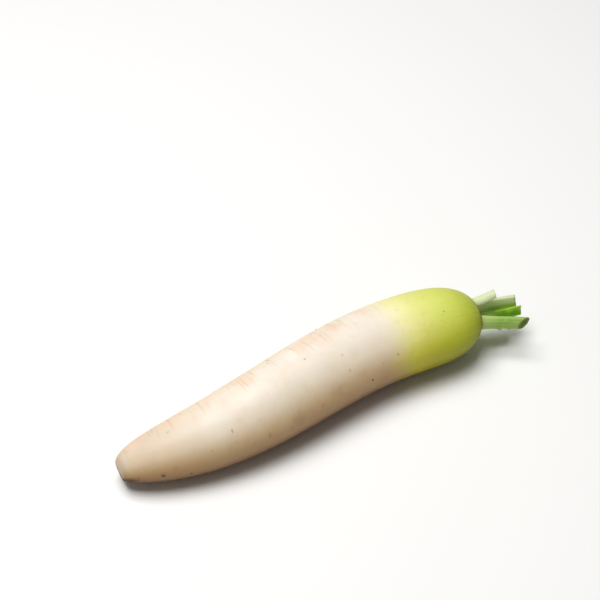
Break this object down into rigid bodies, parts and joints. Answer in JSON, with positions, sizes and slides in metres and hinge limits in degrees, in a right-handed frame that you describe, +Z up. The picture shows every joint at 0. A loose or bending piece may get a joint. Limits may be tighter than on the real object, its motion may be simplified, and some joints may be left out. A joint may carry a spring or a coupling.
{
  "type": "daikon radish",
  "caption": "Long white root vegetable with a green shoulder, lying on its side, with a snapped blunt tip and a bundle of short cut leaf stalks on its crown.",
  "frame": {"origin": "middle of the footprint, on the table that the root lies on", "axes": "+X along the root from the snapped tip towards the crown and its leaf stalks, +Z up, +Y to the left of one who looks from the tip to the crown"},
  "size_m": [0.3912, 0.0856, 0.0712],
  "materials": {
    "root_skin": "smooth waxy plant skin, cream white, turning yellow-green over the shoulder",
    "leaf_stalk": "satin ribbed plant stalk, pale green outside, deeper green in the gutter"
  },
  "bodies": {
    "root": {"root": "root_skin", "stalk_front": "leaf_stalk", "stalk_top": "leaf_stalk", "stalk_back": "leaf_stalk", "stalk_inner": "leaf_stalk", "stalk_under": "leaf_stalk"}
  },
  "joints": []
}
